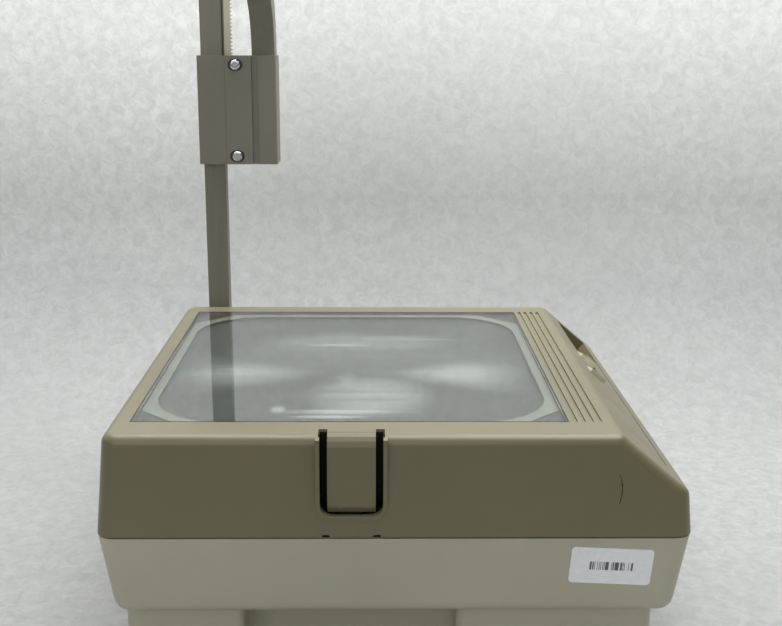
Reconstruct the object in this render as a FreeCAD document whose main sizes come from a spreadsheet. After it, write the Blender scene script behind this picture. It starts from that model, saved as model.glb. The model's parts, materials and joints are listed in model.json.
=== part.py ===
import FreeCAD, Part
import math
import os
import Sketcher
from types import SimpleNamespace

# Overhead projector.  Millimetres, +Z up, the stage seen from the front along +Y.
# The origin is the centre of the footprint's box, on the table.

DOC = FreeCAD.newDocument("overhead_projector")
SHEET = DOC.addObject("Spreadsheet::Sheet", "dims")
NODES = []

DIMENSIONS = {
    # stage and housings
    "lid_width": 365, "lid_depth": 344, "overall_depth": 404, "stage_height": 172,
    "lid_height": 63.5, "lid_draft": 5, "seam_gap": 1, "wall": 3, "edge_radius": 7,
    "corner_radius": 11, "slope_run": 43.9, "slope_drop": 37.2, "slope_edge": 2,
    "glass_width": 271, "glass_depth": 283, "glass_thickness": 5, "glass_left": 19,
    "glass_front": 32, "stack_depth": 15.2,
    "gasket": 0.8, "block_height": 54.5, "base_draft": 7, "block_edge_radius": 9,
    "pedestal_inset": 16, "pedestal_inset_left": 10.5, "pedestal_inset_front": 21,
    "pedestal_bottom": 6, "scoop_left": -95.5, "scoop_right": 39.5,
    "scoop_depth": 26, "scoop_radius": 16, "plate_thickness": 2, "foot_radius": 10,
    "foot_inset": 22, "foot_bore": 2.3, "label_x": 132.9, "label_below_seam": 20,
    # stage lid details
    "rib_count": 4, "rib_pitch": 5.1, "rib_width": 2.4, "rib_depth": 1.1, "latch_x": -26.7,
    "latch_width": 38.4, "tongue_width": 29.3, "latch_height": 50.4, "latch_radius": 8,
    "tongue_gap": 1.6, "latch_depth": 13, "latch_room": 17, "slot_x": 44.8,
    "slot_width": 1.8, "slot_depth": 3, "key_top": 16.5, "key_near": -27.5,
    "key_length": 40, "key_width": 14, "dish_top": 15, "dish_far": 120.5,
    "pocket_depth": 13, "pocket_skin": 2.5, "hinge_y": 122, "hinge_z": 158,
    "hinge_x": 110, "pin_radius": 2.5, "running_fit": 0.05, "mask_chamfer": 30,
    "aperture_inset": 6.5, "aperture_radius": 52,
    # column, sleeve and arm
    "post_left": -160.3, "post_width": 18.3, "post_front": 146, "post_depth": 16,
    "post_top": 472, "rack_thickness": 6.8, "sleeve_left": -162.8, "sleeve_right": -96,
    "sleeve_bottom": 296.5, "sleeve_top": 387.5, "sleeve_front": 138, "sleeve_rear": 171,
    "glide": 0.35, "gear_module": 1, "gear_teeth": 16, "gear_width": 10, "knob_radius": 21,
    "arm_width": 19.4, "arm_depth": 22, "arm_radius": 60, "arm_lean": 55, "arm_wall": 1.8,
    # head
    "head_left": -120, "head_right": 36, "head_front": -85.5, "head_rear": 28.5,
    "head_bottom": 478, "head_seam": 498, "head_top": 518, "barrel_radius": 44,
    "lens_radius": 39, "mirror_length": 112, "mirror_width": 100, "mirror_rest_angle": 45,
    "head_corner": 14, "mirror_hinge_x": -76, "mirror_hinge_z": 524,
    # lamp house
    "house_left": -86, "house_right": 30, "house_front": -73.5, "house_rear": 16.5,
    "house_top": 64, "lamp_height": 44, "lamp_spacing": 34, "fan_size": 76,
    "inlet_x": 102, "inlet_width": 27, "inlet_low": 22.5, "inlet_high": 42.5,
    "lever_x": -46, "lever_height": 34, "rear_slot_margin": 4, "sheet_metal": 1.5,
    "grille_left": -62, "grille_right": 78, "grille_low": 66, "grille_high": 98,
}


class Size:
    """A number that remembers the spreadsheet formula it came from."""

    def __init__(self, formula, number):
        self.formula = formula
        self.number = float(number)

    def _join(self, sign, other, swapped=False):
        left, right = (as_size(other), self) if swapped else (self, as_size(other))
        results = {"+": left.number + right.number, "-": left.number - right.number,
                   "*": left.number * right.number}
        number = left.number / right.number if sign == "/" else results[sign]
        return Size(f"({left.formula} {sign} {right.formula})", number)

    def __add__(self, other):
        return self._join("+", other)

    def __radd__(self, other):
        return self._join("+", other, swapped=True)

    def __sub__(self, other):
        return self._join("-", other)

    def __rsub__(self, other):
        return self._join("-", other, swapped=True)

    def __mul__(self, other):
        return self._join("*", other)

    def __rmul__(self, other):
        return self._join("*", other, swapped=True)

    def __truediv__(self, other):
        return self._join("/", other)

    def __neg__(self):
        return 0 - self

    def __float__(self):
        return self.number


def as_size(value):
    return value if isinstance(value, Size) else Size(f"{float(value):.6f}", value)


def fill_sheet():
    """Write the driving dimensions as plain numbers with aliases."""
    sizes = {}
    for row, (name, number) in enumerate(DIMENSIONS.items(), start=1):
        SHEET.set(f"A{row}", name)
        SHEET.set(f"B{row}", str(number))
        SHEET.setAlias(f"B{row}", name)
        sizes[name] = Size(f"dims.{name}", number)
    DOC.recompute()
    return SimpleNamespace(**sizes)


d = fill_sheet()

# ---------------------------------------------------------------- shared places

PARTING = d.stage_height - d.lid_height
FRONT = -d.overall_depth / 2
LID_REAR = FRONT + d.lid_depth
LEFT = -d.lid_width / 2
RIGHT = d.lid_width / 2
BLOCK_BOTTOM = PARTING - d.block_height
GLASS_X = (LEFT + d.glass_left, LEFT + d.glass_left + d.glass_width)
GLASS_Y = (FRONT + d.glass_front, FRONT + d.glass_front + d.glass_depth)
AXIS_X = (GLASS_X[0] + GLASS_X[1]) / 2
AXIS_Y = (GLASS_Y[0] + GLASS_Y[1]) / 2
SLOPE_TOP_X = RIGHT - d.slope_edge - d.slope_run
SLOPE = math.degrees(math.atan2(DIMENSIONS["slope_drop"], DIMENSIONS["slope_run"]))
DOWN_SLOPE = (math.cos(math.radians(SLOPE)), -math.sin(math.radians(SLOPE)))
OFF_SLOPE = (math.sin(math.radians(SLOPE)), math.cos(math.radians(SLOPE)))
PEDESTAL_X = (LEFT + d.pedestal_inset_left, RIGHT - d.pedestal_inset)
PEDESTAL_Y = (FRONT + d.pedestal_inset_front, LID_REAR - d.pedestal_inset)
PLATE_TOP = d.pedestal_bottom + d.plate_thickness
HINGES = (-d.hinge_x, d.hinge_x)
GEAR_RADIUS = d.gear_module * d.gear_teeth / 2
POST_RIGHT = d.post_left + d.post_width
RACK_PITCH_X = POST_RIGHT + d.rack_thickness + 0.9 - d.gear_module
PINION_X = RACK_PITCH_X + GEAR_RADIUS
PINION_Z = (d.sleeve_bottom + d.sleeve_top) / 2
PINION_Y = (d.post_front + 2.5, d.post_front + 2.5 + d.gear_width)
RACK_TEETH, RACK_BELOW = 47, 11.5
ARM_X = d.sleeve_right - 1.6 - d.arm_width / 2
ARM_Y = (d.post_front + 0.5, d.post_front + 0.5 + d.arm_depth)
COVER_X = (d.sleeve_left + 23.5, d.sleeve_left + 46)
SCREW_X = d.sleeve_left + 32.5
SCREW_Z = (d.sleeve_bottom + 7, d.sleeve_top - 7.5)
KEY_GAP = 0.8
KEY_ALONG = d.key_top + d.key_width / 2
KEY_CENTRES = [d.key_near + d.key_length / 2, d.key_near + d.key_length * 3 / 2]
KEY_FAR = d.key_near + d.key_length * 2
STACK_LOW = d.stage_height - d.stack_depth
LATCH_LOW = d.stage_height - d.latch_height

LEVER_SLOT_X = (d.lever_x - d.rear_slot_margin,
                d.lever_x + d.lamp_spacing + d.rear_slot_margin)
LEVER_SLOT_Z = (d.lever_height - 5, d.lever_height + 5)
GRILLE_X = (d.grille_left, d.grille_right)
GRILLE_Z = (d.grille_low, d.grille_high)
SOCKET_BOLTS = [(x, z) for x in (d.post_left + 2.3, d.post_left + 15.8) for z in (72, 92)]

X, Y, Z = FreeCAD.Vector(1, 0, 0), FreeCAD.Vector(0, 1, 0), FreeCAD.Vector(0, 0, 1)
ORIGIN = (0, 0, 0)
CLEAR = 0.3
THROUGH = 20


# ---------------------------------------------------------------- helpers

def bind(thing, **properties):
    """Bind properties to spreadsheet formulas."""
    for name, value in properties.items():
        thing.setExpression(name, as_size(value).formula)


def place(thing, at=ORIGIN, axis=Z, angle=0):
    """Give a feature its Placement, with the position bound to the sheet."""
    spot = FreeCAD.Vector(*[float(value) for value in at])
    thing.Placement = FreeCAD.Placement(spot, FreeCAD.Rotation(axis, float(angle)))
    for letter, value in zip("xyz", at):
        thing.setExpression(f"Placement.Base.{letter}", as_size(value).formula)
    return thing


def box(x, y, z):
    """A block given by its low and high sides on each axis."""
    block = DOC.addObject("Part::Box", "block")
    bind(block, Length=x[1] - x[0], Width=y[1] - y[0], Height=z[1] - z[0])
    return place(block, (x[0], y[0], z[0]))


def around(centre, width):
    """Low and high side of a width centred on a value."""
    return (centre - width / 2, centre + width / 2)


def rod(at, radius, length, axis=Z):
    """A cylinder from a point along an axis."""
    cylinder = DOC.addObject("Part::Cylinder", "rod")
    bind(cylinder, Radius=radius, Height=length)
    turns = {(0, 0, 1): (Z, 0), (1, 0, 0): (Y, 90), (0, 1, 0): (X, -90)}
    about, angle = turns[tuple(axis)]
    return place(cylinder, at, about, angle)


def cone(at, low_radius, high_radius, length):
    frustum = DOC.addObject("Part::Cone", "frustum")
    bind(frustum, Radius1=low_radius, Radius2=high_radius, Height=length)
    return place(frustum, at)


def ball(at, radius):
    sphere = DOC.addObject("Part::Sphere", "ball")
    bind(sphere, Radius=radius)
    return place(sphere, at)


def taper(x, y, z, x_top, y_top):
    """A block whose top rectangle differs from its bottom one."""
    wedge = DOC.addObject("Part::Wedge", "taper")
    bind(wedge, Xmin=x[0], Xmax=x[1], Zmin=-y[1], Zmax=-y[0], Ymin=0, Ymax=z[1] - z[0],
         X2min=x_top[0], X2max=x_top[1], Z2min=-y_top[1], Z2max=-y_top[0])
    return place(wedge, (0, 0, z[0]), X, 90)


def prism(plane, outline, length, at=ORIGIN, axis=Z, angle=0):
    """A PartDesign body: a closed outline drawn on an origin plane and padded.

    On XZ the pad runs towards +Y and on YZ and XY towards +X and +Z.
    """
    body = DOC.addObject("PartDesign::Body", "outline")
    sketch = body.newObject("Sketcher::SketchObject", "profile")
    support = [item for item in body.Origin.OriginFeatures if item.Role == plane + "_Plane"]
    sketch.AttachmentSupport = [(support[0], "")]
    sketch.MapMode = "FlatFace"
    draw_loop(sketch, outline)
    pad = body.newObject("PartDesign::Pad", "pad")
    pad.Profile = sketch
    pad.Reversed = plane == "XZ"
    bind(pad, Length=length)
    body.Tip = pad
    return place(body, at, axis, angle)


def draw_loop(sketch, points):
    """Closed polyline with every corner dimensioned from the sketch's origin."""
    count = len(points)
    corners = [FreeCAD.Vector(float(across), float(up), 0) for across, up in points]
    for index in range(count):
        line = Part.LineSegment(corners[index], corners[(index + 1) % count])
        sketch.addGeometry(line, False)
    for index, (across, up) in enumerate(points):
        join = Sketcher.Constraint("Coincident", index, 2, (index + 1) % count, 1)
        sketch.addConstraint(join)
        for kind, value in (("DistanceX", across), ("DistanceY", up)):
            size = Sketcher.Constraint(kind, -1, 1, index, 1, float(value))
            number = sketch.addConstraint(size)
            sketch.setExpression(f"Constraints[{number}]", as_size(value).formula)


def cut(base, *tools):
    result = DOC.addObject("Part::Cut", "cut")
    result.Base = base
    result.Tool = tools[0] if len(tools) == 1 else fuse(*tools)
    return result


def fuse(*parts):
    result = DOC.addObject("Part::MultiFuse", "fuse")
    result.Shapes = list(parts)
    return result


def common(*parts):
    result = DOC.addObject("Part::MultiCommon", "common")
    result.Shapes = list(parts)
    return result


def group(*parts):
    """Separate solids that share a node."""
    result = DOC.addObject("Part::Compound", "group")
    result.Links = list(parts)
    return result


def fillet(base, radius, wanted):
    """Round the edges that a test on (middle point, direction) picks."""
    DOC.recompute()
    result = DOC.addObject("Part::Fillet", "fillet")
    result.Base = base
    picked = []
    for number, edge in enumerate(base.Shape.Edges, start=1):
        if edge.Length < 1e-6:
            continue
        middle = edge.valueAt((edge.FirstParameter + edge.LastParameter) / 2)
        direction = (edge.lastVertex().Point - edge.firstVertex().Point)
        if direction.Length > 0:
            direction.normalize()
        if wanted(middle, direction):
            picked.append((number, float(radius), float(radius)))
    result.Edges = picked
    DOC.recompute()
    return result


def upright(_, direction):
    return abs(direction.z) > 0.9


def node(name, thing):
    """Name a finished sub-part."""
    thing.Label = name
    NODES.append(thing)
    return thing


def slope_frame(along, across, off):
    """A point on the control slope: down it, along Y, and off its surface."""
    return (SLOPE_TOP_X + DOWN_SLOPE[0] * along + OFF_SLOPE[0] * off, across,
            d.stage_height + DOWN_SLOPE[1] * along + OFF_SLOPE[1] * off)


def slope_box(along, across, off):
    """A block lined up with the control slope."""
    block = DOC.addObject("Part::Box", "slope_block")
    bind(block, Length=along[1] - along[0], Width=across[1] - across[0], Height=off[1] - off[0])
    return place(block, slope_frame(along[0], across[0], off[0]), Y, SLOPE)


# ---------------------------------------------------------------- base

def scoop(grow):
    """The hand recess under the front of the block, grown by a wall."""
    hollow = box((d.scoop_left - grow, d.scoop_right + grow),
                 (PEDESTAL_Y[0] - THROUGH, PEDESTAL_Y[0] + d.scoop_depth + grow),
                 (-THROUGH, BLOCK_BOTTOM + grow))
    rounded_y = float(PEDESTAL_Y[0])
    return fillet(hollow, d.scoop_radius + grow,
                  lambda middle, way: upright(middle, way) and middle.y > rounded_y)


def block_outside():
    """Tapered upper block of the base, wider at the parting line."""
    inset = d.base_draft
    plain = taper((LEFT + inset, RIGHT - inset), (FRONT + inset, LID_REAR - inset),
                  (BLOCK_BOTTOM, PARTING), (LEFT, RIGHT), (FRONT, LID_REAR))
    corners = fillet(plain, d.corner_radius + 1, upright)
    bottom = float(BLOCK_BOTTOM)
    return fillet(corners, d.block_edge_radius, lambda middle, way: middle.z < bottom + 0.1)


def pedestal_outside():
    plain = box(PEDESTAL_X, PEDESTAL_Y, (d.pedestal_bottom, BLOCK_BOTTOM + d.wall))
    corners = fillet(plain, d.corner_radius, upright)
    scooped = cut(corners, scoop(0))
    mouth_y = float(PEDESTAL_Y[0])
    left, right = float(d.scoop_left), float(d.scoop_right)
    return fillet(scooped, d.wall * 2, lambda middle, way: (
        upright(middle, way) and abs(middle.y - mouth_y) < 0.1
        and min(abs(middle.x - left), abs(middle.x - right)) < 0.1))


def base_housing():
    """One moulded tub: the block, the pedestal and the hand recess."""
    wall = d.wall
    inset = d.base_draft + wall
    block_hollow = taper((LEFT + inset, RIGHT - inset), (FRONT + inset, LID_REAR - inset),
                         (BLOCK_BOTTOM + wall, PARTING + 1),
                         (LEFT + wall, RIGHT - wall), (FRONT + wall, LID_REAR - wall))
    pedestal_hollow = box((PEDESTAL_X[0] + wall, PEDESTAL_X[1] - wall),
                          (PEDESTAL_Y[0] + wall, PEDESTAL_Y[1] - wall),
                          (0, BLOCK_BOTTOM + wall + 1))
    inner_radius = d.corner_radius - wall
    hollow = fuse(fillet(block_hollow, inner_radius + 1, upright),
                  cut(fillet(pedestal_hollow, inner_radius, upright), scoop(wall)))
    vent_pitch, vent_width, vent_start = 8, 4, -68
    inlet_vents = [box((PEDESTAL_X[0] - 1, PEDESTAL_X[0] + wall + 1),
                       (vent_start + vent_pitch * step,
                        vent_start + vent_pitch * step + vent_width), (16, 50))
                   for step in range(10)]
    rear = (PEDESTAL_Y[1] - wall - 1, PEDESTAL_Y[1] + 1)
    inlet = box(around(d.inlet_x, d.inlet_width + 1), rear,
                (d.inlet_low - 0.5, d.inlet_high + 0.5))
    lever_slot = box(LEVER_SLOT_X, rear, LEVER_SLOT_Z)
    grille_hole = box(GRILLE_X, (LID_REAR - 12, LID_REAR + 1), GRILLE_Z)
    bolt_holes = [rod((x, LID_REAR - 12, z), 2.2, 16, Y) for x, z in SOCKET_BOLTS]
    shell = cut(fuse(block_outside(), pedestal_outside()), hollow, inlet, lever_slot,
                grille_hole, *inlet_vents, *bolt_holes)
    trimmed = cut(shell, box((LEFT - 1, RIGHT + 1), (FRONT - 1, LID_REAR + 1),
                             (PARTING - d.seam_gap / 2, PARTING + 2)))
    node("base_housing", trimmed)


def feet_spots():
    return [(x, y) for x in (PEDESTAL_X[0] + d.foot_inset, PEDESTAL_X[1] - d.foot_inset)
            for y in (PEDESTAL_Y[0] + d.foot_inset, PEDESTAL_Y[1] - d.foot_inset)]


def bottom_and_feet():
    """Steel bottom plate with four rubber feet, each held by one screw."""
    wall = d.wall + CLEAR
    head_radius, head_height, shank_radius, shank_length = 4, 2, 2, 10
    plate = box((PEDESTAL_X[0] + wall, PEDESTAL_X[1] - wall),
                (PEDESTAL_Y[0] + wall, PEDESTAL_Y[1] - wall), (d.pedestal_bottom, PLATE_TOP))
    holes = [rod((x, y, 0), d.foot_bore, THROUGH) for x, y in feet_spots()]
    rounded = fillet(plate, d.corner_radius - d.wall, upright)
    node("bottom_plate", cut(rounded, scoop(wall), *holes))
    feet = [cut(cone((x, y, 0), d.foot_radius - 1.5, d.foot_radius, d.pedestal_bottom),
                rod((x, y, -1), head_radius + 0.6, head_height + 2),
                rod((x, y, 0), d.foot_bore, THROUGH))
            for x, y in feet_spots()]
    node("rubber_feet", group(*feet))
    screws = [fuse(rod((x, y, 1), head_radius, head_height),
                   rod((x, y, head_height), shank_radius, shank_length))
              for x, y in feet_spots()]
    node("foot_screws", group(*screws))


def rear_grille():
    """Slotted outlet for the warm air, set in the rear wall."""
    plate_y = (LID_REAR - 7.5, LID_REAR - 5)
    slot_count, slot_pitch, slot_width, margin, end = 17, 8, 4, 6, 4
    plate = box((GRILLE_X[0] + CLEAR, GRILLE_X[1] - CLEAR), plate_y,
                (GRILLE_Z[0] + CLEAR, GRILLE_Z[1] - CLEAR))
    starts = [GRILLE_X[0] + margin + slot_pitch * step for step in range(slot_count)]
    slots = [box((start, start + slot_width), (plate_y[0] - 1.5, plate_y[1] + 1),
                 (GRILLE_Z[0] + end, GRILLE_Z[1] - end)) for start in starts]
    node("rear_grille", cut(plate, *slots))


def fan():
    """Axial fan that blows across the lamps."""
    depth, strut, hub_radius, rotor_radius, spindle_radius = 25, 2.5, 16, 15.5, 1.5
    x = (PEDESTAL_X[0] + 6, PEDESTAL_X[0] + 6 + depth)
    y, z = around(AXIS_Y, d.fan_size), (PLATE_TOP, PLATE_TOP + d.fan_size)
    middle = PLATE_TOP + d.fan_size / 2
    duct = rod((x[0] - 1, AXIS_Y, middle), d.fan_size / 2 - 2.5, depth + 2, X)
    struts = [box((x[1] - strut, x[1]), around(AXIS_Y, 4), z),
              box((x[1] - strut, x[1]), y, around(middle, 4))]
    frame = fuse(cut(box(x, y, z), duct), *struts)
    node("fan_frame", cut(frame, rod((x[0], AXIS_Y, middle), hub_radius + CLEAR, depth + 5, X)))
    hub = rod((x[1] - 6, AXIS_Y, middle), hub_radius, 6, X)
    spindle = rod((x[0] + 8, AXIS_Y, middle), spindle_radius, 14, X)
    node("fan_motor", fuse(hub, spindle))
    wire = 1.6
    guard_x = (x[0] - 2, x[0] - 2 + wire)
    rings = [cut(rod((guard_x[0], AXIS_Y, middle), radius + wire / 2, wire, X),
                 rod((guard_x[0] - 1, AXIS_Y, middle), radius - wire / 2, wire + 2.4, X))
             for radius in (12, 22, 32)]
    spokes = [box(guard_x, around(AXIS_Y, wire), around(middle, d.fan_size - 4)),
              box(guard_x, around(AXIS_Y, d.fan_size - 4), around(middle, wire))]
    node("fan_guard", fuse(*rings, *spokes))
    rotor_hub = cut(rod((x[0] + 4, AXIS_Y, middle), rotor_radius, 14, X),
                    rod((x[0] + 7, AXIS_Y, middle), spindle_radius + d.running_fit, 16, X))
    blade_count = 7
    blades = [turned_blade(step * 360 / blade_count, (x[0] + 11, AXIS_Y, middle))
              for step in range(blade_count)]
    node("fan_rotor", fuse(rotor_hub, *blades))


def turned_blade(angle, centre):
    """One pitched blade, turned about the fan's axis."""
    chord, thickness, span, root, pitch_angle = 14, 1.6, 20.5, 14.5, 38
    blade = DOC.addObject("Part::Box", "blade")
    bind(blade, Length=chord, Width=thickness, Height=span)
    pitch = FreeCAD.Rotation(Z, pitch_angle)
    turn = FreeCAD.Rotation(X, angle)
    spot = FreeCAD.Vector(*[float(value) for value in centre])
    local = pitch.multVec(FreeCAD.Vector(-chord / 2, -thickness / 2, 0))
    local += FreeCAD.Vector(0, 0, root)
    blade.Placement = FreeCAD.Placement(spot + turn.multVec(local), turn.multiply(pitch))
    return blade


def lamp_house():
    """Open-ended sheet-metal tunnel round the lamps, with the condenser on its roof."""
    x, y = (d.house_left, d.house_right), (d.house_front, d.house_rear)
    sheet, roof = d.sheet_metal, d.house_top
    window_radius, lens_radius, lens_rise, cap_radius = 30, 32, 14, 52
    shell = cut(box(x, y, (PLATE_TOP, roof)),
                box((x[0] - 1, x[1] + 1), (y[0] + sheet, y[1] - sheet),
                    (PLATE_TOP - 1, roof - sheet)),
                rod((AXIS_X, AXIS_Y, PLATE_TOP), window_radius, roof),
                box(LEVER_SLOT_X, (y[1] - 3, y[1] + 1), LEVER_SLOT_Z))
    node("lamp_house", shell)
    dome = common(ball((AXIS_X, AXIS_Y, roof + lens_rise - cap_radius), cap_radius),
                  rod((AXIS_X, AXIS_Y, roof + 0.1), lens_radius, 30))
    node("condenser_lens", dome)
    centre = (AXIS_X, AXIS_Y, d.lamp_height)
    dish_radius, dish_high = 30, 17
    dish = common(cut(ball(centre, dish_radius + sheet), ball(centre, dish_radius)),
                  rod((AXIS_X, AXIS_Y, PLATE_TOP), dish_radius + 10, dish_high))
    stem = rod((AXIS_X, AXIS_Y, PLATE_TOP), 6, 5)
    node("lamp_reflector", fuse(dish, stem))
    cutout_x, cutout_y = AXIS_X + 46, AXIS_Y - 28
    can_radius, can_height, tab_thickness = 8, 5, 2
    node("thermal_cutout", fuse(rod((cutout_x, cutout_y, roof), can_radius, can_height),
                                box(around(cutout_x, can_radius * 2), around(cutout_y, 4),
                                    (roof, roof + tab_thickness))))


def lamp_changer():
    """Carriage with the working lamp and the spare, moved by a rear lever."""
    middle_y, plate_thickness, groove = d.house_rear - 10, 2, 2.6
    plate_low, rail_high = 18, 23
    rail = cut(box((d.house_left + 2, d.house_right - 2), around(middle_y, 10),
                   (PLATE_TOP, rail_high)),
               box((d.house_left, d.house_right), around(middle_y, groove),
                   (plate_low - 0.4, rail_high + 1)))
    node("lamp_rail", rail)
    plate_y = around(middle_y, plate_thickness)
    plate = box((d.house_left + 8, AXIS_X + 16), plate_y, (plate_low, d.lamp_height + 12))
    knob_y = PEDESTAL_Y[1] + 3
    lever = rod((d.lever_x, plate_y[1], d.lever_height), 2.5, knob_y - plate_y[1], Y)
    node("lamp_carriage", fuse(plate, lever))
    knob_radius, knob_depth = 6, 9
    knob = rod((d.lever_x, knob_y, d.lever_height), knob_radius, knob_depth, Y)
    knob_end = float(knob_y) + knob_depth
    node("lamp_change_knob", fillet(knob, 1.5, lambda middle, way: middle.y > knob_end - 0.1))
    lamps = (AXIS_X, AXIS_X - d.lamp_spacing)
    socket_depth, bulb_radius, bulb_length = 14, 6, 22
    sockets = [box(around(x, 16), (plate_y[0] - socket_depth, plate_y[0]),
                   around(d.lamp_height, 14)) for x in lamps]
    node("lamp_sockets", group(*sockets))
    tip = plate_y[0] - socket_depth - bulb_length
    bulbs = [fuse(rod((x, tip, d.lamp_height), bulb_radius, bulb_length, Y),
                  ball((x, tip, d.lamp_height), bulb_radius)) for x in lamps]
    node("halogen_lamps", group(*bulbs))


def electrical_parts():
    """Transformer, terminals and mains inlet."""
    x, y, z = (70, 140), (-60, 0), (PLATE_TOP, PLATE_TOP + 58)
    core_limb, window_width, overhang, slack = 12, 14, 10, 1
    windows = [box((side, side + window_width), (y[0] - 1, y[1] + 1),
                   (z[0] + core_limb, z[1] - core_limb))
               for side in (x[0] + core_limb, x[1] - core_limb - window_width)]
    node("transformer_core", cut(box(x, y, z), *windows))
    coil_x = (x[0] + core_limb + slack, x[1] - core_limb - slack)
    limb_x = (x[0] + core_limb + window_width - 0.5, x[1] - core_limb - window_width + 0.5)
    winding = cut(box(coil_x, (y[0] - overhang, y[1] + overhang),
                      (z[0] + core_limb + slack, z[1] - core_limb - slack)),
                  box(limb_x, (y[0] - 0.5, y[1] + 0.5), z))
    node("transformer_winding", winding)
    block_height, well_pitch, well_radius, well_depth = 14, 10, 2.6, 6
    block_x, block_y = (40, 92), (48, 64)
    block = box(block_x, block_y, (PLATE_TOP, PLATE_TOP + block_height))
    wells = [rod((block_x[0] + 6 + well_pitch * step, (block_y[0] + block_y[1]) / 2,
                  PLATE_TOP + block_height - well_depth), well_radius, well_depth + 2)
             for step in range(5)]
    node("terminal_block", cut(block, *wells))
    rear, rim, wall = PEDESTAL_Y[1], 3.5, 2
    flange = box(around(d.inlet_x, d.inlet_width + rim * 2), (rear + 0.1, rear + 2),
                 (d.inlet_low - rim, d.inlet_high + rim))
    body = box(around(d.inlet_x, d.inlet_width), (rear - 18, rear + 2),
               (d.inlet_low, d.inlet_high))
    cavity = box(around(d.inlet_x, d.inlet_width - wall * 2), (rear - 14, rear + 3),
                 (d.inlet_low + wall, d.inlet_high - wall))
    pin_spots = ((-7, 31), (0, 35), (7, 31))
    pins = [box(around(d.inlet_x + shift, 2), (rear - 16, rear - 3), around(height, 4))
            for shift, height in pin_spots]
    node("power_inlet", fuse(cut(fuse(flange, body), cavity), *pins))


def hinge_brackets():
    """Two steel uprights that carry the stage lid's pins near its rear edge."""
    thickness, eye_radius, foot_width, foot_height = 4, 5.5, 26, 3
    low = BLOCK_BOTTOM + d.wall
    parts = []
    for x in HINGES:
        across = around(x, thickness)
        eye = rod((across[0], d.hinge_y, d.hinge_z), eye_radius, thickness, X)
        upright_plate = box(across, around(d.hinge_y, eye_radius * 2), (low, d.hinge_z))
        foot = box(around(x, foot_width), (d.hinge_y - eye_radius, d.hinge_y + 9),
                   (low, low + foot_height))
        bore = rod((x - thickness, d.hinge_y, d.hinge_z), d.pin_radius + d.running_fit,
                   thickness * 2, X)
        parts.append(cut(fuse(eye, upright_plate, foot), bore))
    node("hinge_brackets", group(*parts))


def latch_keeper():
    """Steel keeper on the front wall, close beside the latch hook."""
    back = FRONT + d.wall + 3.6
    node("latch_keeper", box(around(d.latch_x, 24), (back - 1, back),
                             (PARTING - 17.5, PARTING - 10.5)))


def asset_label():
    """Blank property sticker on the front of the base."""
    lean = math.degrees(math.atan2(DIMENSIONS["base_draft"], DIMENSIONS["block_height"]))
    width, height, thickness, tilt = 50.8, 25.4, 0.25, 2.8
    sticker = box((0, width), (0, thickness), (0, height))
    rounded = fillet(sticker, 2.5, lambda middle, way: abs(way.y) > 0.9)
    middle_z = PARTING - d.label_below_seam
    face_y = FRONT + d.base_draft * d.label_below_seam / d.block_height
    turn = FreeCAD.Rotation(X, lean).multiply(FreeCAD.Rotation(Y, tilt))
    centre = FreeCAD.Vector(float(d.label_x), float(face_y), float(middle_z))
    corner = turn.multVec(FreeCAD.Vector(-width / 2, -thickness - 0.02, -height / 2))
    rounded.Placement = FreeCAD.Placement(centre + corner, turn)
    node("asset_label", rounded)


# ---------------------------------------------------------------- column

def column():
    """Square post in its rear socket, with the focus rack on its right side."""
    left, right = d.post_left, POST_RIGHT
    y = (d.post_front, d.post_front + d.post_depth)
    bottom = BLOCK_BOTTOM + 5
    tube_wall = 2
    outer = box((left, right), y, (bottom + 3, d.post_top))
    inner = box((left + tube_wall, right - tube_wall), (y[0] + tube_wall, y[1] - tube_wall),
                (bottom, d.post_top + 1))
    node("post", cut(fillet(outer, 1.2, upright), inner))
    grip = 1
    cap = fuse(box((left - grip / 2, right + grip / 2), (y[0] - grip / 2, y[1] + grip / 2),
                   (d.post_top, d.post_top + 3)),
               box((left + tube_wall, right - tube_wall), (y[0] + tube_wall, y[1] - tube_wall),
                   (d.post_top - 8, d.post_top)))
    node("post_cap", cap)
    rise = d.block_height - 10
    low_inset = d.base_draft * (d.block_height - 5) / d.block_height
    rear_y = float(y[1])
    seat = taper((left - 7, right + 8), (LID_REAR - low_inset + 0.1, y[1] + 5),
                 (bottom, bottom + rise), (left - 7, right + 8), (LID_REAR - 0.4, y[1] + 5))
    rounded = fillet(seat, 3, lambda middle, way: upright(middle, way) and middle.y > rear_y)
    socket_hole = box((left, right), y, (bottom + 3, bottom + rise + 1))
    holes = [rod((x, LID_REAR - 12, z), 2.1, 22, Y) for x, z in SOCKET_BOLTS]
    node("post_socket", cut(rounded, socket_hole, *holes))
    bolts = [fuse(rod((x, LID_REAR - 11, z), 4, 2.5, Y), rod((x, LID_REAR - 10, z), 1.9, 13.5, Y))
             for x, z in SOCKET_BOLTS]
    node("socket_bolts", group(*bolts))


def rack_outline(back, tip):
    """Toothed outline at the gear's pitch, from the bottom up, closed at its back."""
    module = d.gear_module
    pitch = math.pi * float(module)
    slack = 0.1
    flank = math.tan(math.radians(20))
    tip_half = pitch / 4 - flank * float(module) - slack / 2
    root_half = pitch / 4 + flank * 1.25 * float(module) - slack / 2
    root = RACK_PITCH_X - 1.25 * module
    low, high = rack_span()
    outline = [(back, high), (back, low), (root, low)]
    for step in range(RACK_TEETH):
        centre = low + (step + 0.5) * pitch
        outline += [(root, centre - root_half), (tip, centre - tip_half),
                    (tip, centre + tip_half), (root, centre + root_half)]
    outline.append((root, high))
    return [(float(x), float(z)) for x, z in outline]


def rack_span():
    pitch = math.pi * float(d.gear_module)
    return (float(PINION_Z) - RACK_BELOW * pitch,
            float(PINION_Z) + (RACK_TEETH - RACK_BELOW) * pitch)


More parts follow.
